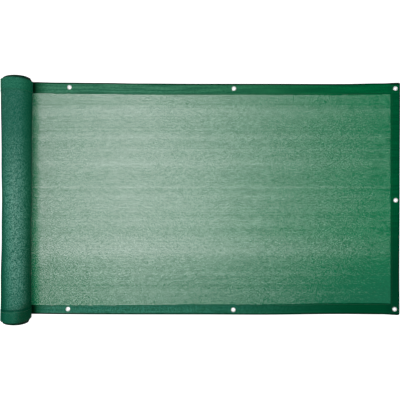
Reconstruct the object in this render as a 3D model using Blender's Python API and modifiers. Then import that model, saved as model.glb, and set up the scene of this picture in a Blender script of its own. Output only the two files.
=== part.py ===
"""Balcony privacy screen: a knitted shade net with eyeleted hems, part wound on itself.

Metres, +Z up. X runs along the net from its roll to its free end, Y runs across it. The
origin lies on the floor, under the middle of the whole screen. Places along the run are
measured from the line where the roll touches the floor, places across from the net's
middle line, and one empty carries everything from there to the origin.
"""

import math

import bmesh
import bpy
from mathutils import Vector

# Net and hems of the loose run
FREE_RUN = 1.464
TAIL_END = 0.025  # where the roll's tail stops and the loose run starts, under the roll
GAP = 0.0003  # between pieces that touch on the real screen
NET_THICKNESS = 0.0012
HEM_THICKNESS = 0.0024
HEM_BACK_WIDTH = 0.0435
HEM_END_WIDTH = 0.035
END_SEAM = FREE_RUN - HEM_END_WIDTH  # where the end hem begins
STATION_PITCH = 0.070
PANEL_CELLS_ACROSS = 10

# The long edges wander: along the run, back edge, front edge, width of the front hem
EDGE_ROWS = (
    (0.025, 0.4560, -0.4470, 0.0350),
    (0.140, 0.4539, -0.4483, 0.0350),
    (0.300, 0.4526, -0.4491, 0.0356),
    (0.455, 0.4505, -0.4494, 0.0368),
    (0.690, 0.4493, -0.4496, 0.0400),
    (0.920, 0.4492, -0.4504, 0.0398),
    (1.235, 0.4484, -0.4478, 0.0432),
    (1.391, 0.4508, -0.4488, 0.0438),
    (1.464, 0.4530, -0.4515, 0.0438),
)

# The free end is cut a little out of square: across the net, beyond the run's end
END_ROWS = (
    (-0.4515, 0.0000),
    (-0.2700, -0.0007),
    (0.0000, 0.0006),
    (0.4530, 0.0026),
)

# Low swells in the loose cloth
SWELL_HEIGHT = 0.0004
SWELL_LENGTH = 0.430
SWELL_WIDTH = 0.600
SWELL_START = 0.100

# Eyelets: name, along the run, across it
EYELET_ROWS = (
    ("eyelet_back_1", 0.1800, 0.4350),
    ("eyelet_back_2", 0.8195, 0.4300),
    ("eyelet_front_1", 0.1740, -0.4275),
    ("eyelet_front_2", 0.8170, -0.4305),
    ("eyelet_end_back", 1.4470, 0.4300),
    ("eyelet_end_middle", 1.4480, -0.0045),
    ("eyelet_end_front", 1.4440, -0.4285),
)
BORE_RADIUS = 0.0050
BARREL_RADIUS = 0.0058
FLANGE_RADIUS = 0.0088
FLANGE_CROWN_RADIUS = 0.0080
FLANGE_THICKNESS = 0.0006
LIP = 0.0005  # rounding of the bore's mouth
EYELET_STEPS = 20
BACK_INSET = 0.0190  # from a long edge to the middle of its eyelets
FRONT_INSET = 0.0205
HOLE_RADIUS = BARREL_RADIUS + GAP
LIFT = FLANGE_THICKNESS + GAP  # the hem rides on the eyelet's lower flange
LEVEL_REACH = 0.012  # the hem is level this far round an eyelet
LIFT_REACH = 0.018  # and down on the floor again here

# The roll: across the net, outer radius, how far its axis lies back from the run's start
ROLL_ROWS = (
    (-0.460, 0.0540, 0.0030),
    (-0.300, 0.0534, 0.0028),
    (-0.130, 0.0519, 0.0016),
    (0.000, 0.0528, -0.0007),
    (0.150, 0.0535, -0.0004),
    (0.260, 0.0537, 0.0002),
    (0.370, 0.0553, -0.0002),
    (0.455, 0.0560, -0.0010),
)
FLAT_DEPTH = 0.0015  # how far the roll is pressed flat on the floor
TURN_PITCH = 0.0025
HEM_STEP = 0.0008  # the wound hems stand proud of the net between them
DENT = 0.0005
ROLL_BACK_REACH = 0.4526
ROLL_FRONT_REACH = -0.4614
ROLL_BACK_HEM = 0.3950  # inner edges of the hems on the outer turn
ROLL_FRONT_HEM = -0.4090
SEAM_RAMP = 0.002  # how fast the hem's step rises
BACK_SHORT = 0.0116  # the outer turn stops short of the turns inside it, at each end
FRONT_SHORT = 0.0119
BACK_SLANT = 0.0033  # the ends lie this much further in on the roll's left, and out on its right
FRONT_SLANT = 0.0027

# The roll's ends are domed: place between rim and outer turn's edge, how many turns further in
RIM_ROWS = (
    (0.00, 4.50),
    (0.10, 4.00),
    (0.50, 2.60),
    (0.90, 1.40),
    (1.00, 1.00),
    (1.12, 0.00),
)
ARC_STEPS = 40
ROLL_PLACES = (-0.428, -0.370, -0.300, -0.200, -0.100, 0.000, 0.100, 0.200, 0.300, 0.360, 0.425)

NET_GREEN = (0.030, 0.190, 0.095, 1.0)
HEM_GREEN = (0.010, 0.110, 0.050, 1.0)
ALUMINIUM = (0.80, 0.81, 0.81, 1.0)


def clear_scene():
    for item in list(bpy.context.scene.objects):
        bpy.data.objects.remove(item, do_unlink=True)


def new_collection(name):
    collection = bpy.data.collections.new(name)
    bpy.context.scene.collection.children.link(collection)
    return collection


def finish(name, colour, roughness, metallic=0.0):
    material = bpy.data.materials.new(name)
    material.use_nodes = True
    shader = material.node_tree.nodes["Principled BSDF"]
    shader.inputs["Base Color"].default_value = colour
    shader.inputs["Roughness"].default_value = roughness
    shader.inputs["Metallic"].default_value = metallic
    return material


def ease(share):
    share = min(1.0, max(0.0, share))
    return share * share * (3.0 - 2.0 * share)


def table_value(rows, place, column):
    """One column of a table at a place, eased from row to row."""
    for low, high in zip(rows, rows[1:]):
        if place <= high[0]:
            share = ease((place - low[0]) / (high[0] - low[0]))
            return low[column] + (high[column] - low[column]) * share
    return rows[-1][column]


def back_edge(along):
    return table_value(EDGE_ROWS, along, 1)


def front_edge(along):
    return table_value(EDGE_ROWS, along, 2)


def front_width(along):
    return table_value(EDGE_ROWS, along, 3)


def underside(along, across):
    """Height of the cloth's underside: low swells, and a level rise under each eyelet."""
    swell = math.sin(math.tau * along / SWELL_LENGTH) * math.cos(math.tau * across / SWELL_WIDTH)
    height = SWELL_HEIGHT * max(0.0, swell) * ease((along - SWELL_START) / SWELL_START)
    for _, eyelet_along, eyelet_across in EYELET_ROWS:
        distance = max(abs(along - eyelet_along), abs(across - eyelet_across))
        share = ease((LIFT_REACH - distance) / (LIFT_REACH - LEVEL_REACH))
        height += (LIFT - height) * share
    return height


def stations(start, end, eyelet_places):
    """Places from start to end: an even pitch, with closer ones about each eyelet."""
    near = [
        place + side * reach
        for place in eyelet_places
        for side in (-1, 1)
        for reach in (LEVEL_REACH, LIFT_REACH)
        if start < place + side * reach < end
    ]
    count = max(1, round((end - start) / STATION_PITCH))
    even = [start + (end - start) * step / count for step in range(1, count)]
    room = LIFT_REACH - LEVEL_REACH
    even = [place for place in even if all(abs(place - other) > room for other in near)]
    return sorted([start, end] + near + even)


def cloth_piece(name, along_places, across_places, thickness):
    """A sheet over the floor: across_places gives its lines across for one place along."""
    mesh = bpy.data.meshes.new(name)
    cells_along = len(along_places) - 1
    cells_across = len(across_places(along_places[0])) - 1
    bm = bmesh.new()
    bmesh.ops.create_grid(bm, x_segments=cells_along, y_segments=cells_across, size=0.5)
    for vert in bm.verts:
        along = along_places[round((vert.co.x + 0.5) * cells_along)]
        across = across_places(along)[round((vert.co.y + 0.5) * cells_across)]
        vert.co = Vector((along, across, underside(along, across)))
    raised = bmesh.ops.extrude_face_region(bm, geom=bm.faces[:])
    top = [item for item in raised["geom"] if isinstance(item, bmesh.types.BMVert)]
    bmesh.ops.translate(bm, verts=top, vec=(0.0, 0.0, thickness))
    bmesh.ops.recalc_face_normals(bm, faces=bm.faces[:])
    bm.to_mesh(mesh)
    bm.free()
    return bpy.data.objects.new(name, mesh)


def long_seams():
    """Places along the run that the panel and both long hems share."""
    long_eyelets = [along for _, along, _ in EYELET_ROWS if along < END_SEAM]
    return stations(TAIL_END + GAP, END_SEAM - GAP, long_eyelets)


def hem_back():
    lines = (0.0, BACK_INSET - LEVEL_REACH, BACK_INSET + LEVEL_REACH, HEM_BACK_WIDTH)

    def across(along):
        return [back_edge(along) - line for line in lines]

    return cloth_piece("hem_back", long_seams(), across, HEM_THICKNESS)


def hem_front():
    lines = (0.0, FRONT_INSET - LEVEL_REACH, FRONT_INSET + LEVEL_REACH)

    def across(along):
        return [front_edge(along) + line for line in lines + (front_width(along),)]

    return cloth_piece("hem_front", long_seams(), across, HEM_THICKNESS)


def hem_end():
    end_eyelets = [row for row in EYELET_ROWS if row[1] > END_SEAM]
    along = stations(END_SEAM, FREE_RUN, [row[1] for row in end_eyelets])
    middle = stations(front_edge(FREE_RUN), back_edge(FREE_RUN), [row[2] for row in end_eyelets])

    def across(place):
        return [front_edge(place)] + middle[1:-1] + [back_edge(place)]

    hem = cloth_piece("hem_end", along, across, HEM_THICKNESS)
    for vert in hem.data.vertices:
        if vert.co.x > FREE_RUN - GAP:
            vert.co.x += table_value(END_ROWS, vert.co.y, 1)
    return hem


def panel():
    def across(along):
        low = front_edge(along) + front_width(along) + GAP
        high = back_edge(along) - HEM_BACK_WIDTH - GAP
        steps = range(PANEL_CELLS_ACROSS + 1)
        return [low + (high - low) * step / PANEL_CELLS_ACROSS for step in steps]

    return cloth_piece("panel", long_seams(), across, NET_THICKNESS)


def hem_share(across):
    """1 on the wound hems, 0 on the net between them."""
    outside = max(across - ROLL_BACK_HEM, ROLL_FRONT_HEM - across)
    return ease(outside / SEAM_RAMP)


def roll_section(top_place, foot_place, shrink, slant):
    """One loop round the roll: up its left side, over, down to the nip, and the tail's tip."""
    hem = hem_share(top_place)
    radius = table_value(ROLL_ROWS, top_place, 1) + HEM_STEP * hem
    axis = -table_value(ROLL_ROWS, top_place, 2)
    axis_height = radius - FLAT_DEPTH
    tail_top = NET_THICKNESS + (HEM_THICKNESS - NET_THICKNESS) * hem
    first = math.acos(axis_height / radius)
    last_radius = radius - TURN_PITCH
    last = math.tau - math.acos((axis_height - tail_top) / last_radius)
    points = []
    for step in range(ARC_STEPS + 1):
        angle = first + (last - first) * step / ARC_STEPS
        above = min(1.0, 1.0 - math.cos(angle))
        wave = DENT * math.sin(3.0 * angle + 20.0 * top_place) * math.sin(13.0 * top_place)
        reach = radius - TURN_PITCH * step / ARC_STEPS - shrink * above + wave * above
        points.append(
            Vector(
                (
                    axis - reach * math.sin(angle),
                    foot_place + (top_place + slant * math.sin(angle) - foot_place) * above,
                    max(0.0, axis_height - reach * math.cos(angle)),
                )
            )
        )
    points[0].z = 0.0
    points[-1].z = tail_top
    points.append(Vector((TAIL_END, foot_place, tail_top)))
    points.append(Vector((TAIL_END, foot_place, 0.0)))
    return points


def rim(reach, foot_place, short, slant):
    """Loops of a domed end, from its rim in: top place, foot place, shrink and slant of each."""
    side = 1 if reach > 0.0 else -1
    loops = []
    for share, turns in RIM_ROWS:
        inward = side * share * short
        slanted = -side * slant * max(0.0, 1.0 - share)
        loops.append((reach - inward, foot_place - inward, turns * TURN_PITCH, slanted))
    return loops


def roll_places():
    """Top place, foot place, shrink and slant of each loop, from the front end to the back."""
    front = rim(ROLL_FRONT_REACH, front_edge(TAIL_END), FRONT_SHORT, FRONT_SLANT)
    back = rim(ROLL_BACK_REACH, back_edge(TAIL_END), BACK_SHORT, BACK_SLANT)
    seams = (ROLL_FRONT_HEM - SEAM_RAMP, ROLL_FRONT_HEM, ROLL_BACK_HEM, ROLL_BACK_HEM + SEAM_RAMP)
    middle = [(place, place, 0.0, 0.0) for place in sorted(ROLL_PLACES + seams)]
    return front + middle + back[::-1]


def roll():
    """The wound length as one solid: its end face pulled from section to section."""
    sections = [roll_section(*places) for places in roll_places()]
    bm = bmesh.new()
    face = bm.faces.new([bm.verts.new(point) for point in sections[0]])
    for number, section in enumerate(sections[1:]):
        pulled = bmesh.ops.extrude_face_region(bm, geom=[face])
        if number:
            bm.faces.remove(face)  # only the first section stays, as the front end
        face = next(item for item in pulled["geom"] if isinstance(item, bmesh.types.BMFace))
        for vert, point in zip(face.verts, section):
            vert.co = point
    bmesh.ops.recalc_face_normals(bm, faces=bm.faces[:])
    mesh = bpy.data.meshes.new("roll")
    bm.to_mesh(mesh)
    bm.free()
    mesh.shade_smooth()
    mesh.set_sharp_from_angle(angle=math.radians(40.0))
    return bpy.data.objects.new("roll", mesh)


def eyelet_profile():
    """Section of an eyelet, clinched through the hem: out over the top, and back below."""
    height = LIFT + HEM_THICKNESS + LIFT
    upper = height - FLANGE_THICKNESS
    return (
        (BORE_RADIUS, height - LIP),
        (BORE_RADIUS + LIP, height),
        (FLANGE_CROWN_RADIUS, height),
        (FLANGE_RADIUS, upper),
        (BARREL_RADIUS, upper),
        (BARREL_RADIUS, FLANGE_THICKNESS),
        (FLANGE_RADIUS, FLANGE_THICKNESS),
        (FLANGE_CROWN_RADIUS, 0.0),
        (BORE_RADIUS + LIP, 0.0),
        (BORE_RADIUS, LIP),
    )


def eyelet_mesh():
    bm = bmesh.new()
    corners = [bm.verts.new((radius, 0.0, height)) for radius, height in eyelet_profile()]
    for start, end in zip(corners, corners[1:] + corners[:1]):
        bm.edges.new((start, end))
    mesh = bpy.data.meshes.new("eyelet")
    bm.to_mesh(mesh)
    bm.free()
    return mesh


def eyelet(name, along, across, mesh):
    item = bpy.data.objects.new(name, mesh)
    item.location = (along, across, 0.0)
    turn = item.modifiers.new("turned section", "SCREW")
    turn.steps = EYELET_STEPS
    turn.render_steps = EYELET_STEPS
    turn.use_merge_vertices = True
    turn.merge_threshold = 0.00001
    return item


def hole_cutter(name, along, across):
    mesh = bpy.data.meshes.new(name)
    bm = bmesh.new()
    bmesh.ops.create_cone(
        bm,
        cap_ends=True,
        segments=EYELET_STEPS,
        radius1=HOLE_RADIUS,
        radius2=HOLE_RADIUS,
        depth=4.0 * HEM_THICKNESS,
    )
    bm.to_mesh(mesh)
    bm.free()
    cutter = bpy.data.objects.new(name, mesh)
    cutter.location = (along, across, 0.5 * HEM_THICKNESS)
    cutter.hide_render = True
    cutter.display_type = "WIRE"
    return cutter


def punch(strip, cutter):
    cut = strip.modifiers.new("hole for " + cutter.name, "BOOLEAN")
    cut.operation = "DIFFERENCE"
    cut.solver = "EXACT"
    cut.object = cutter


def strip_of(name, hems):
    """The hem that an eyelet sits in, told by the eyelet's name."""
    return next(hem for hem in hems if hem.name.split("_")[1] == name.split("_")[1])


def middle_of(objects):
    """Middle of the box round some unturned objects, in plan."""
    points = [vert.co for item in objects for vert in item.data.vertices]
    return [0.5 * (min(p[axis] for p in points) + max(p[axis] for p in points)) for axis in (0, 1)]


def main():
    clear_scene()
    parts = new_collection("balcony privacy screen")
    cutters = new_collection("cutters")

    net = finish("knitted net", NET_GREEN, roughness=0.60)
    hem_cloth = finish("folded net", HEM_GREEN, roughness=0.55)
    metal = finish("aluminium", ALUMINIUM, roughness=0.30, metallic=1.0)

    cloths = [roll(), panel()]
    hems = [hem_back(), hem_front(), hem_end()]
    floor_point = bpy.data.objects.new("floor point", None)
    parts.objects.link(floor_point)
    middle = middle_of(cloths + hems)
    floor_point.location = (-middle[0], -middle[1], 0.0)

    shared_eyelet = eyelet_mesh()
    eyelets = []
    for name, along, across in EYELET_ROWS:
        eyelets.append(eyelet(name, along, across, shared_eyelet))
        cutter = hole_cutter("cutter_" + name, along, across)
        cutter.parent = floor_point
        cutters.objects.link(cutter)
        punch(strip_of(name, hems), cutter)

    shared_eyelet.materials.append(metal)
    for item in cloths + hems:
        item.data.materials.append(hem_cloth if item in hems else net)
    for item in cloths + hems + eyelets:
        item.parent = floor_point
        parts.objects.link(item)


main()
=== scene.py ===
"""Looks of the balcony privacy screen: a knitted shade net with eyeleted hems, part wound.

Metres, +Z up. Places along the run are measured from the line where the roll touches the
ground, places across from the net's middle line, as in the model that the frame holds.
"""

import math

import bmesh
import bpy
from mathutils import Matrix, Vector


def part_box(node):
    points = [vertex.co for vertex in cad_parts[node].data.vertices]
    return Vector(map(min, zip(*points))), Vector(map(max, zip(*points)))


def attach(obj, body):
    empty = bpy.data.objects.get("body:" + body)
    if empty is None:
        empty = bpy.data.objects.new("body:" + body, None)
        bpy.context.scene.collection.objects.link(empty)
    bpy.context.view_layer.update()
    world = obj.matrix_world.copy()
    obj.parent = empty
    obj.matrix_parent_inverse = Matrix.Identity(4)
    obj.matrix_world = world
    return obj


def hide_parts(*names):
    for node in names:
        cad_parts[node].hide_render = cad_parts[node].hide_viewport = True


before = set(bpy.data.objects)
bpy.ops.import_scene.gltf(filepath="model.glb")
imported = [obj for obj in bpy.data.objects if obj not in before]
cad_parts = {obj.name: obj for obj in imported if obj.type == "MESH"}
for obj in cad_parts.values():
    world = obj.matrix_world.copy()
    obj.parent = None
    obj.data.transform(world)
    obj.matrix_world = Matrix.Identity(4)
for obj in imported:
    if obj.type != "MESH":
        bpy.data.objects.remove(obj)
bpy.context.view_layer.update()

# The loose run
FREE_RUN = 1.464
TAIL_END = 0.025  # where the roll's tail stops and the loose run starts
GAP = 0.0003
HEM_BACK_WIDTH = 0.0435
HEM_END_WIDTH = 0.035
END_SEAM = FREE_RUN - HEM_END_WIDTH
HEM_THICKNESS = 0.0024
HEM_LAYER = 0.0008  # one layer of a hem
HEM_PITCH = 0.006  # between a hem's points along its length
RIM_PLACE = 0.450  # of the long edges' folds, across the cloth
RIM_REACH = 0.0065  # painted shade darkens the cloth this far in from its folds
HEM_LINES = (0.0, 0.002, 0.004, 0.005, 0.006, 0.008, 0.012)  # in from a hem's inner edge
FOLD_STEPS = 6
NET_LAYER = 0.0006
NET_TUCK = 0.004  # the net reaches this far into the fold of a hem
NET_REST = 0.0005  # underside of the net, out in the middle
NET_ENTRY = 0.0010  # underside of the net where it enters a hem
ENTRY_REACH = 0.030
NET_PITCH = 0.010
NET_CELLS = 84

# The long edges wander: along the run, back edge, front edge, width of the front hem
EDGE_ROWS = (
    (0.025, 0.4560, -0.4470, 0.0350),
    (0.140, 0.4539, -0.4483, 0.0350),
    (0.300, 0.4526, -0.4491, 0.0356),
    (0.455, 0.4505, -0.4494, 0.0368),
    (0.690, 0.4493, -0.4496, 0.0400),
    (0.920, 0.4492, -0.4504, 0.0398),
    (1.235, 0.4484, -0.4478, 0.0432),
    (1.391, 0.4508, -0.4488, 0.0438),
    (1.464, 0.4530, -0.4515, 0.0438),
)

# The free end is cut a little out of square: across the net, beyond the run's end
END_ROWS = (
    (-0.4515, 0.0000),
    (-0.2700, -0.0007),
    (0.0000, 0.0006),
    (0.4530, 0.0026),
)
CORNER_RADIUS = 0.006
CORNER_LINES = (0.0, 0.0003, 0.001, 0.002, 0.0035)  # in from a corner's side

# Low swells in the loose cloth, as in the frame, with fine ripples on them
SWELL_HEIGHT = 0.0004
SWELL_LENGTH = 0.430
SWELL_WIDTH = 0.600
SWELL_START = 0.100
RIPPLE_HEIGHT = 0.00012
RIPPLE_LENGTH = 0.107
RIPPLE_WIDTH = 0.075
RIPPLE_LEAN = 9.0

# Waves of a sewn hem: height, length, share of its start
HEM_WAVES = (
    (0.00018, 0.082, 1.0),
    (0.00022, 0.030, 2.0),
)
HEM_SWAY = 2.0  # its inner edge sways this many times as far
SWAY_START = 3.0  # so that the sway and the waves aren't in step
SEAM_INSET = 0.0050  # from the inner edge of a hem to its seam
SEAM_DIP = 0.0004
SEAM_DIP_REACH = 0.003

# Eyelets: name, along the run, across it
EYELET_ROWS = (
    ("eyelet_back_1", 0.1800, 0.4350),
    ("eyelet_back_2", 0.8195, 0.4300),
    ("eyelet_front_1", 0.1740, -0.4275),
    ("eyelet_front_2", 0.8170, -0.4305),
    ("eyelet_end_back", 1.4470, 0.4300),
    ("eyelet_end_middle", 1.4480, -0.0045),
    ("eyelet_end_front", 1.4440, -0.4285),
)
BORE_RADIUS = 0.0050
BARREL_RADIUS = 0.0058
HOLE_RADIUS = 0.0061
FLANGE_RADIUS = 0.0088
WASHER_CROWN = 0.0080
MOUTH_ROUNDING = 0.0014  # leads into the bore
FLANGE_EDGE = 0.0002
FLANGE_BEVEL = 0.0003
EYELET_PLAY = 0.00005  # between the metal and the cloth
EYELET_LIFT = 0.0009  # the hem rides on the eyelet's lower flange
LEVEL_REACH = 0.012
LIFT_REACH = 0.018
CLOTH_TOP = EYELET_LIFT + HEM_THICKNESS
EYELET_HEIGHT = CLOTH_TOP + EYELET_LIFT
CURL_STEPS = 8
EYELET_STEPS = 48
PRESS_MARKS = 900.0  # to the metre: fine marks about 1 mm long
HOLE_STEPS = 32
HOLE_DEPTH = 0.020
MERGE_DISTANCE = 0.00001
SHARP_ANGLE = math.radians(40.0)  # edges that turn more than this look sharp

# The roll: across the net, outer radius, how far its axis lies back from the run's start
ROLL_ROWS = (
    (-0.460, 0.0540, 0.0030),
    (-0.300, 0.0534, 0.0028),
    (-0.130, 0.0519, 0.0016),
    (0.000, 0.0528, -0.0007),
    (0.150, 0.0535, -0.0004),
    (0.260, 0.0537, 0.0002),
    (0.370, 0.0553, -0.0002),
    (0.455, 0.0560, -0.0010),
)
MEAN_RADIUS = 0.0535
FLAT_DEPTH = 0.0015
DENT = 0.0005
DENTS_ROUND = 3.0  # dents to a turn of the roll
DENT_TWIST = 20.0  # radians to the metre along the roll, by which the dents wind round it
DENT_WAVES = 13.0  # and by which they come and go
HEM_STEP = 0.0008
TURN_PITCH = 0.0025
TURNS = 18.8
TURN_STEPS = 56
WOUND_HEM_THICKNESS = 0.0020
WOUND_LAYER = 0.0006
WOUND_NET_LAYER = 0.0005
WOUND_LINES = (0.0, 0.004)
WOUND_FOLD_STEPS = 4
WOUND_CELLS = 18
ROLL_BACK_REACH = 0.4526
ROLL_FRONT_REACH = -0.4614
BACK_SHORT = 0.0116  # the outer turn stops short of the turns inside it
FRONT_SHORT = 0.0119
BACK_SLANT = 0.0033  # the inner turns lie this much further in on the roll's left
FRONT_SLANT = 0.0027
DOME_START = 1.2  # turns in from the outside, where the roll's domed ends begin
DOME_TURNS = 3.0
ROLL_CENTRE = 0.5 * (ROLL_BACK_REACH + ROLL_FRONT_REACH)
WOUND_HEM_PLACE = 0.4015  # from there to the inner edges of the wound hems
WOUND_BACK_WIDTH = 0.0460  # of the hems, as they lie on the roll
WOUND_FRONT_WIDTH = 0.0415
EDGE_WANDER = 0.0010  # the edges of the inner turns lie this unevenly
WANDER_WAVES = (  # share of the wander, pace to the radian, share of the side in its start
    (0.3, 0.83, 1.0),
    (0.2, 2.3, 0.0),
)

# Sewing
STITCH_PITCH = 0.0040
STITCH_LENGTH = 0.0033
STITCH_WIDTH = 0.0011
STITCH_SINK = 0.0003
STITCH_SIDES = 6
STITCH_RINGS = 5
THREAD_BANDS = 700.0  # of the wave texture: a twist about every 0.9 mm
SEAM_END = 0.004  # a row of stitches stops this far from its hem's ends
WOUND_SEAM_START = 0.30  # angles at which the seam leaves the ground and comes back to it
WOUND_SEAM_END = math.tau - 0.35

# The knit: chains of loops run along the cloth, and flat tapes zigzag between them, at the
# usual spacing of a close net
CHAIN_PITCH = 0.0029  # from chain to chain across the cloth
CHAIN_HALF = 0.00063  # half of a chain's width
TAPE_PITCH = 0.0024  # of a zigzag, along the cloth
TAPE_HALF = 0.00054
TAPE_RISE = 0.0003
LEAST_WIDTH = 0.1  # of the narrowest tapes, as a share of the usual width
NET_BLUR = 0.12  # softness of the tapes' edges, as a share of their half width
LAYERS_BLUR = 0.20  # and where layers lie on each other
ROLL_UNEVENNESS = 0.33  # of the tapes' widths on the roll, by chance
HEM_UNEVENNESS = 0.25
FRONT_UNEVENNESS = 0.10  # more of it, toward the front of the loose net
WIDER_BY_ROLL = 0.70  # the loose net's tapes are right beside the roll

# The plainest streaks along the cloth: across it, how much wider its tapes lie there
STREAKS = (
    (0.396, -0.02),
    (0.370, 0.06),
    (0.361, -0.04),
    (0.339, -0.08),
    (0.300, -0.02),
    (0.257, 0.01),
    (0.242, -0.09),
    (0.230, -0.01),
    (0.203, 0.00),
    (0.191, -0.07),
    (0.174, 0.00),
    (0.144, -0.10),
    (0.110, -0.01),
    (0.057, 0.03),
    (0.047, -0.10),
    (0.037, 0.04),
    (0.012, -0.03),
    (-0.015, 0.03),
    (-0.029, -0.06),
    (-0.062, 0.06),
    (-0.083, -0.04),
    (-0.109, 0.05),
    (-0.136, 0.05),
    (-0.159, -0.04),
    (-0.202, -0.13),
    (-0.245, -0.02),
    (-0.280, -0.02),
    (-0.292, -0.07),
    (-0.307, 0.02),
    (-0.327, -0.06),
    (-0.338, 0.04),
    (-0.358, -0.07),
)
RAMP_MIDDLE = 0.5  # stands for no difference, so that no stop of the ramp is negative
STREAK_CHANCE = 0.055  # each chain of the knit is wider or narrower by up to this

# Changes of the looks: name, what it goes by, its course, from there, to there, value at the
# first place, value at the second. Along and across are places in the frame.
NET_CHANGES = (
    ("closes", "along", "LINEAR", -0.287, 0.765, 0.95, 1.77),
    ("beside roll", "along", "SMOOTHSTEP", -0.632, -0.670, 0.0, 1.0),
    ("near roll", "along", "LINEAR", -0.660, -0.450, 0.03, 0.0),
    ("front", "across", "LINEAR", -0.150, -0.400, 0.0, 0.36),
    ("front corner", "along", "LINEAR", 0.350, 0.700, 1.0, 1.8),
    ("streaks show", "along", "LINEAR", 0.000, 0.750, 1.0, 1.6),
    ("uneven", "along", "LINEAR", -0.100, 0.700, 0.26, 0.28),
    ("deepens to end", "along", "LINEAR", -0.400, 0.750, 0.0, 1.0),
)
ROLL_CHANGES = (
    ("gloss", "from gloss", "SMOOTHSTEP", 0.100, 0.420, 1.0, 0.25),
    ("left gloss", "leaning", "SMOOTHSTEP", -0.738, -0.690, 0.0, 1.0),
    ("right gloss", "along", "SMOOTHSTEP", -0.650, -0.676, 0.0, 1.0),
    ("left shade", "leaning", "SMOOTHSTEP", -0.714, -0.750, 0.0, 0.85),
    ("front shade", "across", "SMOOTHSTEP", -0.370, -0.425, 0.0, 0.60),
    ("nip deepens", "across", "SMOOTHSTEP", 0.200, -0.350, 0.55, 1.0),
    ("nip darkens", "across", "LINEAR", 0.000, -0.420, 0.0, 1.0),
    ("step", "from step", "LINEAR", 0.0055, 0.0015, 0.0, 1.0),
    ("step deepens", "across", "LINEAR", 0.400, -0.400, 0.15, 0.70),
    ("rim", "from centre", "LINEAR", 0.4450, 0.4505, 0.0, 0.90),
)
NIP_CHANGES = (("nip", "lower", "SMOOTHSTEP", -0.678, -0.650, 0.0, 1.0),)
HEM_CHANGES = (
    ("toward end", "along", "SMOOTHSTEP", -0.400, 0.650, 0.0, 1.0),
    ("toward front", "across", "SMOOTHSTEP", 0.050, -0.450, 0.0, 0.85),
    ("end hem", "along", "LINEAR", 0.700, 0.735, 0.0, 0.40),
    ("by roll", "along", "SMOOTHSTEP", -0.600, -0.668, 0.0, 0.85),
    ("nip", "along", "LINEAR", -0.652, -0.662, 0.0, 0.85),
    ("rim", "from rim", "LINEAR", RIM_REACH, 0.6 * RIM_REACH, 0.0, 0.95),
)
GLOSS_MIDDLE = -0.11  # where the gloss along the roll is strongest, across the frame
GLOSS_FEWNESS = 2.0  # the higher, the fewer tapes are glossy
LEAST_GLOSS = 0.2  # of a single tape, as a share of the cloth's shine
MOST_GLOSS = 1.2
SHADE_LEAN = 0.03  # the left shade lies this much further in for each metre to the front
NIP_RISE = 0.03  # the shade of the nip comes further up where the front end is in shade
HEM_BANDS = (5.0, 150.0, 1.0)  # to the metre, along the cloth and across it
HEM_LIVELINESS = 0.3  # by this much a hem's single tapes differ

# Colours, as sRGB. A pair goes from dull to bright tapes, unless it says otherwise.
NET_GREEN = "147249"
NET_END_GREEN = "08744a"
NET_ROLL_LIGHT_GREEN = "16905f"
NET_FRONT_SHADE_GREEN = "0a5540"
NET_DARK_TAPE = "034028"
ROLL_NET_GREENS = ("1a5647", "408370")
ROLL_HEM_GREENS = ("236650", "2f7760")
ROLL_SIDE_GREEN = "023d2b"
ROLL_NIP_GREENS = ("004a27", "002c15")  # at the back, at the front
ROLL_STEP_SHADE_GREEN = "01261a"
ROLL_GAP_SHADE_GREEN = "043e2e"
ROLL_RIM_SHADE_GREEN = "00180d"
HEM_ROLL_LIT_GREENS = ("285f4a", "4c866b")
HEM_END_SHADE_GREENS = ("004829", "006538")
HEM_FRONT_SHADE_GREENS = ("388077", "00331e")  # near the roll, at the free end
HEM_DARK_TAPE = "003021"
HEM_SHADE_GREEN = "004426"
HEM_GAP_SHADE_GREEN = "023a22"
HEM_DEEP_SHADE_GREEN = "001c0e"
THREAD_GREENS = ("022818", "073d27")
ALUMINIUM_GREY = "c2c5c4"
TABLE_WHITE = "b4b4b4"

# Camera and light
CAMERA_PLACE = (0.6874, -0.0035, 1.500)  # along the run, across it, height
CAMERA_LENS = 34.65
SENSOR_WIDTH = 36.0
ROOM_LIGHT = 0.75
GROUND_GLOW = 0.75
SOFTBOXES = (  # name, place, size, power
    ("softbox overhead", (-0.55, -0.10, 2.20), 1.6, 36.0),
    ("softbox right", (2.00, -0.10, 1.80), 1.0, 6.0),
)
GROUND_SIZE = 8.0
GROUND_DROP = 0.0010

hem_end_low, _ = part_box("hem_end")


def ease(share):
    share = min(1.0, max(0.0, share))
    return share * share * (3.0 - 2.0 * share)


def blend(start, end, share):
    return start + (end - start) * share


def table_value(rows, place, column):
    """One column of a table at a place, eased from row to row."""
    for low, high in zip(rows, rows[1:]):
        if place <= high[0]:
            share = ease((place - low[0]) / (high[0] - low[0]))
            return blend(low[column], high[column], share)
    return rows[-1][column]


def back_edge(along):
    return table_value(EDGE_ROWS, along, 1)


def front_edge(along):
    return table_value(EDGE_ROWS, along, 2)


def back_width(_):
    return HEM_BACK_WIDTH


def front_width(along):
    return table_value(EDGE_ROWS, along, 3)


RUN_ZERO = hem_end_low[0] - END_SEAM
ACROSS_ZERO = hem_end_low[1] - front_edge(FREE_RUN)


def in_row(along, across, height):
    """A place on the run as a point of the frame."""
    return Vector((along + RUN_ZERO, across + ACROSS_ZERO, height))


def underside(along, across):
    """Height of the cloth's underside: low swells, and a level rise under each eyelet."""
    swell = math.sin(math.tau * along / SWELL_LENGTH) * math.cos(math.tau * across / SWELL_WIDTH)
    height = SWELL_HEIGHT * max(0.0, swell) * ease((along - SWELL_START) / SWELL_START)
    for _, eyelet_along, eyelet_across in EYELET_ROWS:
        distance = max(abs(along - eyelet_along), abs(across - eyelet_across))
        share = ease((LIFT_REACH - distance) / (LIFT_REACH - LEVEL_REACH))
        height = blend(height, EYELET_LIFT, share)
    return height


def even_places(start, end, pitch):
    count = max(1, round((end - start) / pitch))
    return [blend(start, end, step / count) for step in range(count + 1)]


# Meshes


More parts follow.
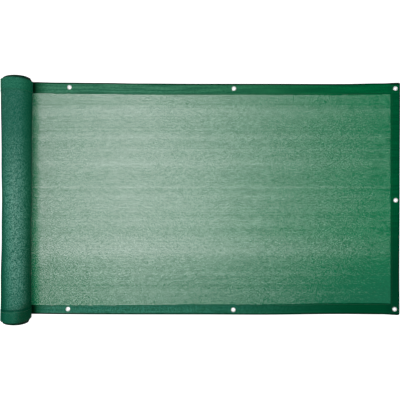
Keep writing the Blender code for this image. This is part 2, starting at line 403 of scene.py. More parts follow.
def finish_piece(name, bm, material):
    """Makes a finished piece of a bmesh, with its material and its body."""
    mesh = bpy.data.meshes.new(name)
    bm.to_mesh(mesh)
    bm.free()
    mesh.shade_smooth()
    mesh.set_sharp_from_angle(angle=SHARP_ANGLE)
    mesh.materials.append(material)
    piece = bpy.data.objects.new(name, mesh)
    bpy.context.scene.collection.objects.link(piece)
    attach(piece, "root")
    return piece


def cloth_bmesh(rows, lines, place):
    """A closed thin sheet of rows by lines points.

    place(row, line, side) gives a point and its place on the cloth in metres, side being
    0 on one face of the sheet and 1 on the other.
    """
    bm = bmesh.new()
    bmesh.ops.create_grid(bm, x_segments=rows - 1, y_segments=lines - 1, size=0.5)
    other_side = bmesh.ops.extrude_face_region(bm, geom=bm.faces[:])["geom"]
    other_side = {item for item in other_side if isinstance(item, bmesh.types.BMVert)}
    on_cloth = {}
    for vert in bm.verts:
        row = round((vert.co.x + 0.5) * (rows - 1))
        line = round((vert.co.y + 0.5) * (lines - 1))
        point, on_cloth[vert] = place(row, line, int(vert in other_side))
        vert.co = point
    bmesh.ops.recalc_face_normals(bm, faces=bm.faces[:])
    layer = bm.loops.layers.uv.new("cloth")
    for face in bm.faces:
        for loop in face.loops:
            loop[layer].uv = on_cloth[loop.vert]
    return bm


def fold_path(thickness, layer, inner_lines, steps):
    """Section of a folded hem, each entry with the two faces of its layer.

    It runs on the top layer from the hem's inner edge out to the fold, round it, and back on
    the lower layer. A face is (share, inset, depth): it lies that share of the hem's width
    plus the inset in from the outer edge, and depth below the top.
    """
    radius = 0.5 * thickness
    flat = [(1.0, -inset) for inset in inner_lines] + [(0.5, 0.0), (0.25, 0.0), (0.0, radius)]
    top = [((*place, 0.0), (*place, layer)) for place in flat]
    below = [((*place, thickness), (*place, thickness - layer)) for place in reversed(flat)]
    turn = []
    for step in range(1, steps):
        angle = math.pi * step / steps
        out, down = math.sin(angle), math.cos(angle)
        reaches = (radius, radius - layer)
        turn.append(tuple((0.0, radius - reach * out, radius - reach * down) for reach in reaches))
    return top + turn + below


def path_lengths(path, width):
    """Length along the outer face of a section, from its first entry to each of them."""
    outer = [(share * width + inset, depth) for (share, inset, depth), _ in path]
    lengths = [0.0]
    for start, end in zip(outer, outer[1:]):
        lengths.append(lengths[-1] + math.dist(start, end))
    return lengths


def hem_wave(place, start):
    """Slight waves along a sewn hem."""
    return sum(
        height * math.sin(math.tau * place / length + share * start)
        for height, length, share in HEM_WAVES
    )


def top_drop(width, inward, wave):
    """How far the top layer lies lower: drawn down by the seam, and waved near the inner edge."""
    distance = abs(width - SEAM_INSET - inward)
    return SEAM_DIP * ease(1.0 - distance / SEAM_DIP_REACH) + abs(wave) * inward / width


def long_hem(name, edge, width_at, side, material):
    """Folded hem on a long edge: side is 1 at the back and -1 at the front."""
    path = fold_path(HEM_THICKNESS, HEM_LAYER, HEM_LINES, FOLD_STEPS)
    stations = even_places(TAIL_END + GAP, END_SEAM - GAP, HEM_PITCH)
    lengths = [path_lengths(path, width_at(along)) for along in stations]

    def place(row, line, face):
        along = stations[row]
        width = width_at(along)
        share, inset, depth = path[line][face]
        inward = share * width + inset
        sway = HEM_SWAY * hem_wave(along, SWAY_START * side) * inward / width
        across = edge(along) - side * (inward + sway)
        upper = 1.0 - depth / HEM_THICKNESS
        height = underside(along, across) + HEM_THICKNESS - depth
        height -= upper * top_drop(width, inward, hem_wave(along, side))
        return in_row(along, across, height), (along, side * (RIM_PLACE - width + lengths[row][line]))

    bm = cloth_bmesh(len(stations), len(path), place)
    piece = finish_piece("folded_" + name, bm, material)
    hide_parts(name)
    return piece


def end_reach(across):
    """How far along the free end reaches, rounded at its corners."""
    inside = min(back_edge(FREE_RUN) - across, across - front_edge(FREE_RUN))
    inside = min(CORNER_RADIUS, max(0.0, inside))
    drop = CORNER_RADIUS - math.sqrt(CORNER_RADIUS**2 - (CORNER_RADIUS - inside) ** 2)
    return FREE_RUN + table_value(END_ROWS, across, 1) - drop


def end_hem(material):
    path = fold_path(HEM_THICKNESS, HEM_LAYER, HEM_LINES, FOLD_STEPS)
    lengths = path_lengths(path, HEM_END_WIDTH)
    low, high = front_edge(FREE_RUN), back_edge(FREE_RUN)
    stations = [low + inset for inset in CORNER_LINES]
    stations += even_places(low + CORNER_RADIUS, high - CORNER_RADIUS, HEM_PITCH)
    stations += [high - inset for inset in reversed(CORNER_LINES)]

    def place(row, line, face):
        across = stations[row]
        share, inset, depth = path[line][face]
        inward = share * HEM_END_WIDTH + inset
        along = blend(end_reach(across), END_SEAM, inward / HEM_END_WIDTH)
        from_low = (across - low) / (high - low)
        across += blend(front_edge(along) - low, back_edge(along) - high, from_low)
        upper = 1.0 - depth / HEM_THICKNESS
        height = underside(along, across) + HEM_THICKNESS - depth
        height -= upper * top_drop(HEM_END_WIDTH, inward, hem_wave(across, 0.0))
        return in_row(along, across, height), (END_SEAM + lengths[line], across)

    bm = cloth_bmesh(len(stations), len(path), place)
    piece = finish_piece("folded_hem_end", bm, material)
    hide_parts("hem_end")
    return piece


def ripple(along, across):
    return RIPPLE_HEIGHT * (
        math.sin(math.tau * along / RIPPLE_LENGTH + RIPPLE_LEAN * across)
        * math.sin(math.tau * across / RIPPLE_WIDTH)
    )


def loose_net(material):
    """The single layer between the hems, its edges tucked into their folds."""
    stations = even_places(TAIL_END + GAP, END_SEAM + NET_TUCK, NET_PITCH)

    def place(row, line, face):
        along = stations[row]
        low = front_edge(along) + front_width(along) - NET_TUCK
        high = back_edge(along) - HEM_BACK_WIDTH + NET_TUCK
        across = blend(low, high, line / NET_CELLS)
        inside = min(across - low, high - across, END_SEAM - along, along - TAIL_END)
        rest = blend(NET_ENTRY, NET_REST, ease(inside / ENTRY_REACH))
        height = underside(along, across) + rest + ripple(along, across) + NET_LAYER * face
        return in_row(along, across, height), (along, across)

    bm = cloth_bmesh(len(stations), NET_CELLS + 1, place)
    piece = finish_piece("loose_net", bm, material)
    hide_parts("panel")
    return piece


def winding():
    """Stations of the wound length: distance of the flat tail, then the angle wound."""
    tail = [(along, 0.0) for along in (TAIL_END, 0.5 * TAIL_END)]
    steps = range(round(TURNS * TURN_STEPS) + 1)
    return tail + [(0.0, math.tau * step / TURN_STEPS) for step in steps]


def lifted(angle):
    """0 where the winding touches the ground, 1 over the upper half of the roll."""
    return min(1.0, 1.0 - math.cos(angle))


def wound_point(tail, angle, across, depth):
    """A point of the winding, depth being measured in from the outer face of its hems."""
    radius = table_value(ROLL_ROWS, across, 1) + HEM_STEP
    axis = -table_value(ROLL_ROWS, across, 2) * (1.0 - tail / TAIL_END)
    wave = math.sin(DENTS_ROUND * angle + DENT_TWIST * across) * math.sin(DENT_WAVES * across)
    reach = radius - TURN_PITCH * angle / math.tau - depth + DENT * wave * lifted(angle)
    floor = round(angle / math.tau) * WOUND_HEM_THICKNESS + depth
    height = max(floor, radius - FLAT_DEPTH - reach * math.cos(angle))
    return in_row(axis + tail - reach * math.sin(angle), across, height)


def wound_length(angle):
    """Length of cloth wound up to an angle."""
    return angle * (MEAN_RADIUS - 0.5 * TURN_PITCH * angle / math.tau)


def wound_edge(angle, side):
    """Place across of the wound cloth's edge: the outer turns lie short of the others."""
    if side > 0:
        foot, top = back_edge(TAIL_END), ROLL_BACK_REACH
        short, slant = BACK_SHORT, BACK_SLANT
    else:
        foot, top = front_edge(TAIL_END), ROLL_FRONT_REACH
        short, slant = FRONT_SHORT, FRONT_SLANT
    wander = 0.5
    for share, pace, start in WANDER_WAVES:
        wander += share * math.sin(pace * angle + start * side)
    inner = EDGE_WANDER * wander + slant * math.sin(angle)
    inward = blend(short, inner, ease((angle / math.tau - DOME_START) / DOME_TURNS))
    return blend(foot, top - side * inward, lifted(angle))


def wound_width(angle, side):
    """Width of a hem on the roll, which leaves the roll at the width it has on the ground."""
    if side > 0:
        return blend(HEM_BACK_WIDTH, WOUND_BACK_WIDTH, lifted(angle))
    return blend(front_width(TAIL_END), WOUND_FRONT_WIDTH, lifted(angle))


def wound_hem(name, side, material):
    stations = winding()
    path = fold_path(WOUND_HEM_THICKNESS, WOUND_LAYER, WOUND_LINES, WOUND_FOLD_STEPS)

    def place(row, line, face):
        tail, angle = stations[row]
        share, inset, depth = path[line][face]
        across = wound_edge(angle, side) - side * (share * wound_width(angle, side) + inset)
        return wound_point(tail, angle, across, depth), (tail - wound_length(angle), across)

    bm = cloth_bmesh(len(stations), len(path), place)
    piece = finish_piece(name, bm, material)
    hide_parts("roll")
    return piece


def wound_net(material):
    stations = winding()

    def place(row, line, face):
        tail, angle = stations[row]
        back = wound_edge(angle, 1) - wound_width(angle, 1) + NET_TUCK
        front = wound_edge(angle, -1) + wound_width(angle, -1) - NET_TUCK
        across = blend(front, back, line / WOUND_CELLS)
        depth = HEM_STEP + WOUND_NET_LAYER * face
        return wound_point(tail, angle, across, depth), (tail - wound_length(angle), across)

    bm = cloth_bmesh(len(stations), WOUND_CELLS + 1, place)
    piece = finish_piece("wound_net", bm, material)
    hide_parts("roll")
    return piece


def punch(strip, rows):
    """Cuts the eyelets' holes through a hem."""
    for _, along, across in rows:
        bm = bmesh.new()
        bmesh.ops.create_cone(
            bm,
            cap_ends=True,
            segments=HOLE_STEPS,
            radius1=HOLE_RADIUS,
            radius2=HOLE_RADIUS,
            depth=HOLE_DEPTH,
            matrix=Matrix.Translation(in_row(along, across, 0.0)),
        )
        mesh = bpy.data.meshes.new("punch")
        bm.to_mesh(mesh)
        bm.free()
        cutter = bpy.data.objects.new("punch", mesh)
        bpy.context.scene.collection.objects.link(cutter)
        cut = strip.modifiers.new("punch", "BOOLEAN")
        cut.operation = "DIFFERENCE"
        cut.solver = "EXACT"
        cut.object = cutter
        evaluated = strip.evaluated_get(bpy.context.evaluated_depsgraph_get())
        whole = strip.data
        strip.data = bpy.data.meshes.new_from_object(evaluated)
        strip.modifiers.clear()
        bpy.data.objects.remove(cutter, do_unlink=True)
        bpy.data.meshes.remove(whole)


def curl(start, end, level_end):
    """A quarter of an oval from start to end, level at its start or at its end."""
    points = []
    for step in range(CURL_STEPS + 1):
        turned = 0.5 * math.pi * step / CURL_STEPS
        fast, slow = math.sin(turned), 1.0 - math.cos(turned)
        if level_end:
            fast, slow = slow, fast
        points.append((blend(start[0], end[0], fast), blend(start[1], end[1], slow)))
    return points


def eyelet_section():
    """Section of a clinched eyelet: up the bore, out over its domed flange, and back below."""
    mouth_top = (BORE_RADIUS + MOUTH_ROUNDING, EYELET_HEIGHT)
    mouth = curl((BORE_RADIUS, EYELET_HEIGHT - MOUTH_ROUNDING), mouth_top, True)
    flange = curl(mouth_top, (FLANGE_RADIUS, CLOTH_TOP + FLANGE_EDGE), False)
    cloth = [
        (FLANGE_RADIUS - FLANGE_BEVEL, CLOTH_TOP + EYELET_PLAY),
        (BARREL_RADIUS, CLOTH_TOP + EYELET_PLAY),
        (BARREL_RADIUS, EYELET_LIFT - EYELET_PLAY),
        (FLANGE_RADIUS - FLANGE_BEVEL, EYELET_LIFT - EYELET_PLAY),
    ]
    washer = curl((FLANGE_RADIUS, EYELET_LIFT - FLANGE_EDGE), (WASHER_CROWN, 0.0), True)
    foot = [(BARREL_RADIUS, 0.0), (BORE_RADIUS, BARREL_RADIUS - BORE_RADIUS)]
    return mouth + flange[1:] + cloth + washer + foot


def rolled_eyelet(name, along, across, material):
    bm = bmesh.new()
    corners = [bm.verts.new((radius, 0.0, height)) for radius, height in eyelet_section()]
    loop = [bm.edges.new(pair) for pair in zip(corners, corners[1:] + corners[:1])]
    bmesh.ops.spin(
        bm,
        geom=corners + loop,
        cent=(0.0, 0.0, 0.0),
        axis=(0.0, 0.0, 1.0),
        angle=math.tau,
        steps=EYELET_STEPS,
        use_merge=True,
    )
    bmesh.ops.remove_doubles(bm, verts=bm.verts[:], dist=MERGE_DISTANCE)
    bmesh.ops.recalc_face_normals(bm, faces=bm.faces[:])
    bmesh.ops.translate(bm, verts=bm.verts[:], vec=in_row(along, across, 0.0))
    piece = finish_piece("rolled_" + name, bm, material)
    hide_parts(name)
    return piece


def stitches(name, points, material):
    """A row of stitches between each pair of points along a seam."""
    bm = bmesh.new()
    for start, end in zip(points, points[1:]):
        along = (end - start).normalized()
        turn = Vector((1.0, 0.0, 0.0)).rotation_difference(along).to_matrix().to_4x4()
        size = Matrix.Diagonal((0.5 * STITCH_LENGTH, 0.5 * STITCH_WIDTH, 0.5 * STITCH_WIDTH, 1.0))
        middle = Matrix.Translation(0.5 * (start + end))
        bmesh.ops.create_uvsphere(
            bm,
            u_segments=STITCH_SIDES,
            v_segments=STITCH_RINGS,
            radius=1.0,
            matrix=middle @ turn @ size,
        )
    return finish_piece(name, bm, material)


def long_seam(edge, width_at, side):
    points = []
    for along in even_places(TAIL_END + SEAM_END, END_SEAM - SEAM_END, STITCH_PITCH):
        across = edge(along) - side * (width_at(along) - SEAM_INSET)
        height = underside(along, across) + HEM_THICKNESS - STITCH_SINK
        points.append(in_row(along, across, height))
    return points


def end_seam():
    along = END_SEAM + SEAM_INSET
    low, high = front_edge(along) + SEAM_END, back_edge(along) - SEAM_END
    return [
        in_row(along, across, underside(along, across) + HEM_THICKNESS - STITCH_SINK)
        for across in even_places(low, high, STITCH_PITCH)
    ]


def wound_seam(side):
    points = []
    for angle in even_places(WOUND_SEAM_START, WOUND_SEAM_END, STITCH_PITCH / MEAN_RADIUS):
        across = wound_edge(angle, side) - side * (wound_width(angle, side) - SEAM_INSET)
        points.append(wound_point(0.0, angle, across, 0.0))
    return points


# Materials


def linear(code):
    """An sRGB hex colour as linear red, green, blue and full alpha."""
    parts = [int(code[start : start + 2], 16) / 255.0 for start in (0, 2, 4)]
    parts = [part / 12.92 if part <= 0.04045 else ((part + 0.055) / 1.055) ** 2.4 for part in parts]
    return (*parts, 1.0)


def add_node(tree, kind, settings=None, inputs=None):
    """Adds a node with its settings and links.

    An input is a value, an output that feeds it, or a node that feeds it by its first output.
    """
    node = tree.nodes.new("ShaderNode" + kind)
    for name, value in (settings or {}).items():
        setattr(node, name, value)
    for name, value in (inputs or {}).items():
        if isinstance(value, bpy.types.Node):
            value = value.outputs[0]
        if isinstance(value, bpy.types.NodeSocket):
            tree.links.new(value, node.inputs[name])
        else:
            node.inputs[name].default_value = value
    return node


def new_material(name):
    material = bpy.data.materials.new(name)
    material.use_nodes = True
    material.node_tree.nodes.clear()
    return material, material.node_tree


def surface(tree, inputs):
    shader = add_node(tree, "BsdfPrincipled", None, inputs)
    add_node(tree, "OutputMaterial", None, {"Surface": shader})


def knit(tree, width, unevenness):
    """Distance from the nearest tape in half tape widths, and the chance of its zigzag, 0 to 1.

    Under 1 is tape, over 1 is a gap. Each zigzag between two chains has its own chance, and is
    narrower or wider than the given width by up to the unevenness.
    """
    cloth = add_node(tree, "UVMap", {"uv_map": "cloth"})
    place = add_node(tree, "SeparateXYZ", None, {"Vector": cloth})
    chain = add_node(tree, "Math", {"operation": "DIVIDE"}, {0: place.outputs["Y"], 1: CHAIN_PITCH})
    # The tapes between two chains start their zigzag where they like
    number = add_node(tree, "Math", {"operation": "FLOOR"}, {0: chain})
    share = add_node(tree, "Math", {"operation": "FRACT"}, {0: chain})
    start = add_node(tree, "TexWhiteNoise", {"noise_dimensions": "1D"}, {"W": number})
    course = add_node(
        tree, "Math", {"operation": "MULTIPLY_ADD"},
        {0: place.outputs["X"], 1: 2.0 / TAPE_PITCH, 2: start.outputs["Value"]},
    )
    period = add_node(tree, "Math", {"operation": "MULTIPLY"}, {0: course, 1: 0.5})
    period = add_node(tree, "Math", {"operation": "FLOOR"}, {0: period})
    cell = add_node(tree, "CombineXYZ", None, {"X": number, "Y": period})
    chance = add_node(tree, "TexWhiteNoise", {"noise_dimensions": "2D"}, {"Vector": cell})
    uneven = add_node(
        tree, "MapRange", None, {"Value": chance.outputs["Value"], "To Min": -1.0, "To Max": 1.0}
    )
    streak = add_node(tree, "TexWhiteNoise", {"noise_dimensions": "1D"}, {"W": start.outputs["Value"]})
    streak = add_node(
        tree, "MapRange", None,
        {"Value": streak.outputs["Value"], "To Min": -STREAK_CHANCE, "To Max": STREAK_CHANCE},
    )
    width = add_node(tree, "Math", {"operation": "MULTIPLY_ADD"}, {0: uneven, 1: unevenness, 2: width})
    width = add_node(tree, "Math", {"operation": "ADD"}, {0: streak, 1: width})
    width = add_node(tree, "Math", {"operation": "MAXIMUM"}, {0: width, 1: LEAST_WIDTH})
    zigzag = add_node(tree, "Math", {"operation": "PINGPONG"}, {0: course, 1: 1.0})
    slant = add_node(tree, "Math", {"operation": "SUBTRACT"}, {0: share, 1: zigzag})
    slant = add_node(tree, "Math", {"operation": "ABSOLUTE"}, {0: slant})
    slant = add_node(tree, "Math", {"operation": "MULTIPLY"}, {0: slant, 1: CHAIN_PITCH / TAPE_HALF})
    chain = add_node(tree, "Math", {"operation": "PINGPONG"}, {0: chain, 1: 0.5})
    chain = add_node(tree, "Math", {"operation": "MULTIPLY"}, {0: chain, 1: CHAIN_PITCH / CHAIN_HALF})
    nearest = add_node(tree, "Math", {"operation": "MINIMUM"}, {0: slant, 1: chain})
    return add_node(tree, "Math", {"operation": "DIVIDE"}, {0: nearest, 1: width}), chance


def streaks(tree):
    """How much wider the tapes lie in the streaks along the cloth."""
    cloth = add_node(tree, "UVMap", {"uv_map": "cloth"})
    place = add_node(tree, "SeparateXYZ", None, {"Vector": cloth})
    high, low = STREAKS[0][0], STREAKS[-1][0]
    share = add_node(
        tree, "MapRange", None, {"Value": place.outputs["Y"], "From Min": high, "From Max": low}
    )
    ramp = add_node(tree, "ValToRGB", None, {"Fac": share})
    stops = ramp.color_ramp.elements
    for across, _ in STREAKS[1:-1]:
        stops.new((high - across) / (high - low))
    for stop, (_, wider) in zip(stops, STREAKS):
        grey = RAMP_MIDDLE + wider
        stop.color = (grey, grey, grey, 1.0)
    return add_node(tree, "Math", {"operation": "SUBTRACT"}, {0: ramp, 1: RAMP_MIDDLE})


def object_place(tree):
    """Place in the frame, along it and across it."""
    place = add_node(tree, "SeparateXYZ", None, {"Vector": add_node(tree, "TexCoord").outputs["Object"]})
    return place.outputs["X"], place.outputs["Y"]


def distance_from(tree, value, middle):
    """How far a value lies from a middle, to either side."""
    distance = add_node(tree, "Math", {"operation": "SUBTRACT"}, {0: value, 1: middle})
    return add_node(tree, "Math", {"operation": "ABSOLUTE"}, {0: distance})


def changes(tree, measures, rows):
    """The rows of a table of changes, each as a node by the name of its row."""
    made = {}
    for name, measure, course, start, end, first, last in rows:
        made[name] = add_node(
            tree, "MapRange", {"interpolation_type": course},
            {
                "Value": measures[measure],
                "From Min": start,
                "From Max": end,
                "To Min": first,
                "To Max": last,
            },
        )
    return made


def sheer_net():
    """Knitted polyethylene tape: green flat tapes with open gaps that show the ground."""
    material, tree = new_material("knitted polyethylene net")
    along, across = object_place(tree)
    look = changes(tree, {"along": along, "across": across}, NET_CHANGES)
    # The knit lies open in the left half and closes toward the free end, the front and the roll
    width = add_node(
        tree, "Math", {"operation": "MULTIPLY_ADD"},
        {0: streaks(tree), 1: look["streaks show"], 2: look["closes"]},
    )
    by_roll = add_node(
        tree, "Math", {"operation": "MULTIPLY"}, {0: look["beside roll"], 1: WIDER_BY_ROLL}
    )
    by_front = add_node(
        tree, "Math", {"operation": "MULTIPLY"}, {0: look["front"], 1: look["front corner"]}
    )
    for wider in (by_roll, look["near roll"], by_front):
        width = add_node(tree, "Math", {"operation": "ADD"}, {0: width, 1: wider})
    unevenness = add_node(
        tree, "Math", {"operation": "MULTIPLY_ADD"},
        {0: look["front"], 1: FRONT_UNEVENNESS, 2: look["uneven"]},
    )
    distance, chance = knit(tree, width, unevenness)
    cover = add_node(
        tree, "MapRange", {"interpolation_type": "SMOOTHSTEP"},
        {"Value": distance, "From Min": 1.0 + NET_BLUR, "From Max": 1.0 - NET_BLUR},
    )
    height = add_node(tree, "MapRange", None, {"Value": distance, "From Min": 1.0, "From Max": 0.0})
    # Painted light beside the roll, where the roll's overhang would shade it; painted shade along the
    # front, stronger toward the free end; and here and there a dark tape
    shady = add_node(tree, "MapRange", None, {"Value": look["deepens to end"], "To Min": 0.5, "To Max": 2.1})
    shady = add_node(tree, "Math", {"operation": "MULTIPLY"}, {0: look["front"], 1: shady})
    darker = add_node(tree, "MapRange", None, {"Value": look["deepens to end"], "To Min": 0.45, "To Max": 0.65})
    darker = add_node(tree, "Math", {"operation": "MULTIPLY"}, {0: chance, 1: darker})
    # The tapes' green deepens toward the free end, and with it the painted shade along the front
    colour = add_node(
        tree, "Mix", {"data_type": "RGBA"},
        {"Factor": look["deepens to end"], "A": linear(NET_GREEN), "B": linear(NET_END_GREEN)},
    )
    layers = (
        (look["beside roll"], NET_ROLL_LIGHT_GREEN),
        (shady, NET_FRONT_SHADE_GREEN),
        (darker, NET_DARK_TAPE),
    )
    for share, green in layers:
        colour = add_node(
            tree, "Mix", {"data_type": "RGBA"},
            {"Factor": share, "A": colour.outputs["Result"], "B": linear(green)},
        )
    bump = add_node(tree, "Bump", None, {"Height": height, "Distance": TAPE_RISE, "Strength": 0.5})
    surface(tree, {
        "Base Color": colour.outputs["Result"],
        "Alpha": cover,
        "Normal": bump,
        "Roughness": 0.55,
        "Specular IOR Level": 0.1,
    })
    return material


def close_knit(tree, unevenness):
    """Cover, chance and relief of the knit where its layers lie on each other."""
    width = add_node(tree, "Math", {"operation": "ADD"}, {0: streaks(tree), 1: 1.0})
    distance, chance = knit(tree, width, unevenness)
    cover = add_node(
        tree, "MapRange", {"interpolation_type": "SMOOTHSTEP"},
        {"Value": distance, "From Min": 1.0 + LAYERS_BLUR, "From Max": 1.0 - LAYERS_BLUR},
    )
    height = add_node(tree, "MapRange", None, {"Value": distance, "From Min": 1.0, "From Max": 0.0})
    bump = add_node(tree, "Bump", None, {"Height": height, "Distance": TAPE_RISE, "Strength": 0.6})
    return cover, chance, bump


def wound_cloth(name, greens, shine):
    """Wound polyethylene net: gaps painted as the next turn in shade, and scattered bright tapes, gathered
    toward the middle of the roll as a painted sheen.
    """
    material, tree = new_material(name)
    along, across = object_place(tree)
    leaning = add_node(
        tree, "Math", {"operation": "MULTIPLY_ADD"}, {0: across, 1: SHADE_LEAN, 2: along}
    )
    from_centre = distance_from(tree, across, ROLL_CENTRE + ACROSS_ZERO)
    measures = {
        "along": along,
        "across": across,
        "leaning": leaning,
        "from gloss": distance_from(tree, across, GLOSS_MIDDLE),
        "from centre": from_centre,
        "from step": distance_from(tree, from_centre, WOUND_HEM_PLACE),
    }
    look = changes(tree, measures, ROLL_CHANGES)
    cover, chance, bump = close_knit(tree, ROLL_UNEVENNESS)
    dark, bright = greens
    # Painted sheen: bright tapes gather toward the middle of the roll, where its gloss is strongest
    bright_tapes_and_sheen = add_node(tree, "Math", {"operation": "MULTIPLY"}, {0: chance, 1: look["gloss"]})
    tapes = add_node(
        tree, "Mix", {"data_type": "RGBA"}, {"Factor": bright_tapes_and_sheen, "A": linear(dark), "B": linear(bright)}
    )
    # Shaded on its left flank and at its front end
    side = add_node(
        tree, "Math", {"operation": "MAXIMUM"}, {0: look["left shade"], 1: look["front shade"]}
    )
    # Shaded toward the nip on its right, further up at the front end, and darker toward the front
    lower = add_node(
        tree, "Math", {"operation": "MULTIPLY_ADD"}, {0: look["front shade"], 1: NIP_RISE, 2: along}
    )
    look.update(changes(tree, {"lower": lower}, NIP_CHANGES))
    nip = add_node(tree, "Math", {"operation": "MULTIPLY"}, {0: look["nip"], 1: look["nip deepens"]})
    nip_back, nip_front = ROLL_NIP_GREENS
    nip_green = add_node(
        tree, "Mix", {"data_type": "RGBA"},
        {"Factor": look["nip darkens"], "A": linear(nip_back), "B": linear(nip_front)},
    )
    # Painted shade: a dark line along the step of each hem, plainer toward the front
    step = add_node(tree, "Math", {"operation": "MULTIPLY"}, {0: look["step"], 1: look["step deepens"]})
    layers = (
        (side, linear(ROLL_SIDE_GREEN)),
        (nip, nip_green.outputs["Result"]),
        (step, linear(ROLL_STEP_SHADE_GREEN)),
    )
    for share, green in layers:
        tapes = add_node(
            tree, "Mix", {"data_type": "RGBA"},
            {"Factor": share, "A": tapes.outputs["Result"], "B": green},
        )
    # Painted shade: the gaps show the next turn in shade
    colour = add_node(
        tree, "Mix", {"data_type": "RGBA"},
        {"Factor": cover, "A": linear(ROLL_GAP_SHADE_GREEN), "B": tapes.outputs["Result"]},
    )
    # Painted shade: a dark line along the rim of each of the roll's ends
    colour = add_node(
        tree, "Mix", {"data_type": "RGBA"},
        {"Factor": look["rim"], "A": colour.outputs["Result"], "B": linear(ROLL_RIM_SHADE_GREEN)},
    )
    # The gloss fades toward the ends and both flanks, and is strongest on a few tapes
    few = add_node(tree, "Math", {"operation": "POWER"}, {0: chance, 1: GLOSS_FEWNESS})
    few = add_node(
        tree, "MapRange", None,
        {"Value": few, "To Min": LEAST_GLOSS * shine, "To Max": MOST_GLOSS * shine},
    )
    off_step = add_node(tree, "Math", {"operation": "SUBTRACT"}, {0: 1.0, 1: step})
    gloss = look["gloss"]
    for part in (look["left gloss"], look["right gloss"], cover, few, off_step):
        gloss = add_node(tree, "Math", {"operation": "MULTIPLY"}, {0: gloss, 1: part})
    surface(tree, {
        "Base Color": colour.outputs["Result"],
        "Normal": bump,
        "Roughness": 0.42,
        "Specular IOR Level": gloss,
    })
    return material


def folded_cloth():
    """Folded polyethylene net: two layers that hide the ground, with dark gaps painted as the shaded layer
    below, and long folds.
    """
    material, tree = new_material("folded polyethylene net")
    along, across = object_place(tree)
    cloth = add_node(tree, "UVMap", {"uv_map": "cloth"})
    on_cloth = add_node(tree, "SeparateXYZ", None, {"Vector": cloth})
    from_middle = add_node(tree, "Math", {"operation": "ABSOLUTE"}, {0: on_cloth.outputs["Y"]})
    from_side = distance_from(tree, from_middle, RIM_PLACE)
    from_end = distance_from(tree, on_cloth.outputs["X"], FREE_RUN)
    from_rim = add_node(tree, "Math", {"operation": "MINIMUM"}, {0: from_side, 1: from_end})
    look = changes(tree, {"along": along, "across": across, "from rim": from_rim}, HEM_CHANGES)
    cover, chance, bump = close_knit(tree, HEM_UNEVENNESS)
    # Long faint bands along the cloth, where its layers bunch
    long = add_node(tree, "Mapping", None, {"Vector": cloth, "Scale": HEM_BANDS})
    bands = add_node(tree, "TexNoise", {"noise_dimensions": "2D"}, {"Vector": long, "Scale": 1.0})
    bands = add_node(
        tree, "MapRange", None, {"Value": bands, "From Min": 0.35, "From Max": 0.65, "To Max": 0.7}
    )
    pale = add_node(
        tree, "Math", {"operation": "MULTIPLY_ADD"}, {0: chance, 1: HEM_LIVELINESS, 2: bands}
    )
    # Painted light: paler near the roll, with a painted sheen, and painted shade toward the free end
    near, far = (
        add_node(
            tree, "Mix", {"data_type": "RGBA"}, {"Factor": pale, "A": linear(dull), "B": linear(light)}
        )
        for dull, light in (HEM_ROLL_LIT_GREENS, HEM_END_SHADE_GREENS)
    )
    # Painted shade along the front, in a green that is greyer near the roll and darkest at the free end,
    # with dark tapes in it
    front_by_roll, front_by_end = HEM_FRONT_SHADE_GREENS
    front = add_node(
        tree, "Mix", {"data_type": "RGBA"},
        {"Factor": look["toward end"], "A": linear(front_by_roll), "B": linear(front_by_end)},
    )
    uneven = add_node(tree, "MapRange", None, {"Value": chance, "To Min": 0.1})
    front = add_node(
        tree, "Mix", {"data_type": "RGBA"},
        {"Factor": uneven, "A": linear(HEM_DARK_TAPE), "B": front.outputs["Result"]},
    )
    # The front's painted shade comes partly over the whole end hem
    corner = add_node(tree, "MapRange", None, {"Value": look["toward end"], "To Min": 0.60, "To Max": 1.0})
    corner = add_node(tree, "Math", {"operation": "MULTIPLY"}, {0: corner, 1: look["toward front"]})
    corner = add_node(
        tree, "Math", {"operation": "ADD", "use_clamp": True}, {0: corner, 1: look["end hem"]}
    )
    tapes = near
    layers = (
        (look["toward end"], far.outputs["Result"]),
        (corner, front.outputs["Result"]),
        (look["by roll"], linear(HEM_SHADE_GREEN)),
    )
    for share, green in layers:
        tapes = add_node(
            tree, "Mix", {"data_type": "RGBA"},
            {"Factor": share, "A": tapes.outputs["Result"], "B": green},
        )
    colour = add_node(
        tree, "Mix", {"data_type": "RGBA"},
        {"Factor": cover, "A": linear(HEM_GAP_SHADE_GREEN), "B": tapes.outputs["Result"]},
    )
    # Painted shade, darkest along its folded rims and in the nip of the roll
    for share in (look["rim"], look["nip"]):
        colour = add_node(
            tree, "Mix", {"data_type": "RGBA"},
            {"Factor": share, "A": colour.outputs["Result"], "B": linear(HEM_DEEP_SHADE_GREEN)},
        )
    surface(tree, {
        "Base Color": colour.outputs["Result"],
        "Normal": bump,
        "Roughness": 0.5,
        "Specular IOR Level": 0.0,
    })
    return material


def sewing_thread():
    """Polyester sewing thread: a tight twist with a slight sheen."""
    material, tree = new_material("polyester sewing thread")
    place = add_node(tree, "TexCoord").outputs["Object"]
    twist = add_node(
        tree, "TexWave", {"bands_direction": "DIAGONAL"}, {"Vector": place, "Scale": THREAD_BANDS}
    )
    dark, bright = THREAD_GREENS
    colour = add_node(
        tree, "Mix", {"data_type": "RGBA"}, {"Factor": twist, "A": linear(dark), "B": linear(bright)}
    )
    surface(tree, {
        "Base Color": colour.outputs["Result"],
        "Roughness": 0.45,
        "Specular IOR Level": 0.4,
    })
    return material


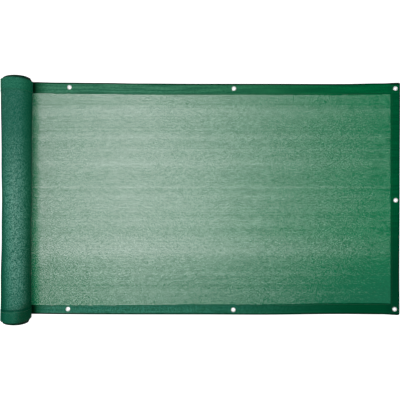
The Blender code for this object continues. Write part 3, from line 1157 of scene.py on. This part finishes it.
def pressed_aluminium():
    """Pressed aluminium: grey and satin, with fine marks of the press."""
    material, tree = new_material("pressed aluminium")
    place = add_node(tree, "TexCoord").outputs["Object"]
    marks = add_node(tree, "TexNoise", None, {"Vector": place, "Scale": PRESS_MARKS, "Detail": 3.0})
    roughness = add_node(
        tree, "MapRange", None,
        {"Value": marks, "From Min": 0.3, "From Max": 0.7, "To Min": 0.32, "To Max": 0.48},
    )
    bump = add_node(tree, "Bump", None, {"Height": marks, "Distance": 0.0001, "Strength": 0.2})
    surface(tree, {
        "Base Color": linear(ALUMINIUM_GREY),
        "Metallic": 1.0,
        "Roughness": roughness,
        "Normal": bump,
    })
    return material


def backlit_acrylic():
    """Opal acrylic table, lit from below, so that the ground stays white beside the roll."""
    material, tree = new_material("opal acrylic")
    surface(tree, {
        "Base Color": linear(TABLE_WHITE),
        "Roughness": 1.0,
        "Specular IOR Level": 0.0,
        "Emission Color": linear("ffffff"),
        "Emission Strength": GROUND_GLOW,
    })
    return material


# Studio


def ground(material):
    """A large table top just under the screen."""
    bm = bmesh.new()
    bmesh.ops.create_grid(bm, x_segments=1, y_segments=1, size=GROUND_SIZE)
    bmesh.ops.translate(bm, verts=bm.verts[:], vec=(0.0, 0.0, -GROUND_DROP))
    mesh = bpy.data.meshes.new("ground")
    bm.to_mesh(mesh)
    bm.free()
    mesh.materials.append(material)
    board = bpy.data.objects.new("ground", mesh)
    bpy.context.scene.collection.objects.link(board)


def soft_light(name, place, size, power):
    """A soft light that faces the middle of the screen."""
    light = bpy.data.lights.new(name, "AREA")
    light.shape = "DISK"
    light.size = size
    light.energy = power
    lamp = bpy.data.objects.new(name, light)
    lamp.location = place
    lamp.rotation_euler = (-Vector(place)).to_track_quat("-Z", "Y").to_euler()
    bpy.context.scene.collection.objects.link(lamp)


def studio():
    world = bpy.data.worlds.new("pale room")
    bpy.context.scene.world = world
    world.use_nodes = True
    background = world.node_tree.nodes["Background"]
    background.inputs["Color"].default_value = (1.0, 1.0, 1.0, 1.0)
    background.inputs["Strength"].default_value = ROOM_LIGHT
    for softbox in SOFTBOXES:
        soft_light(*softbox)

    camera_data = bpy.data.cameras.new("camera")
    camera_data.lens = CAMERA_LENS
    camera_data.sensor_width = SENSOR_WIDTH
    camera = bpy.data.objects.new("camera", camera_data)
    camera.location = in_row(*CAMERA_PLACE)
    bpy.context.scene.collection.objects.link(camera)
    bpy.context.scene.camera = camera
    bpy.context.scene.view_settings.view_transform = "Standard"


def main():
    studio()
    ground(backlit_acrylic())
    roll_cloth = wound_cloth("wound polyethylene net", ROLL_NET_GREENS, 1.0)
    roll_hem_cloth = wound_cloth("wound folded net", ROLL_HEM_GREENS, 0.4)
    hem_cloth = folded_cloth()
    thread = sewing_thread()
    metal = pressed_aluminium()

    wound = wound_net(roll_cloth)
    wound_hems = {
        "back": wound_hem("wound_hem_back", 1, roll_hem_cloth),
        "front": wound_hem("wound_hem_front", -1, roll_hem_cloth),
    }
    wound_seams = {
        "back": stitches("stitches_wound_back", wound_seam(1), thread),
        "front": stitches("stitches_wound_front", wound_seam(-1), thread),
    }
    net = loose_net(sheer_net())
    hems = {
        "back": long_hem("hem_back", back_edge, back_width, 1, hem_cloth),
        "front": long_hem("hem_front", front_edge, front_width, -1, hem_cloth),
        "end": end_hem(hem_cloth),
    }
    seams = {
        "back": stitches("stitches_back", long_seam(back_edge, back_width, 1), thread),
        "front": stitches("stitches_front", long_seam(front_edge, front_width, -1), thread),
        "end": stitches("stitches_end", end_seam(), thread),
    }
    for place, hem in hems.items():
        rows = [row for row in EYELET_ROWS if row[0].startswith("eyelet_" + place)]
        punch(hem, rows)
        [rolled_eyelet(*row, metal) for row in rows]


main()
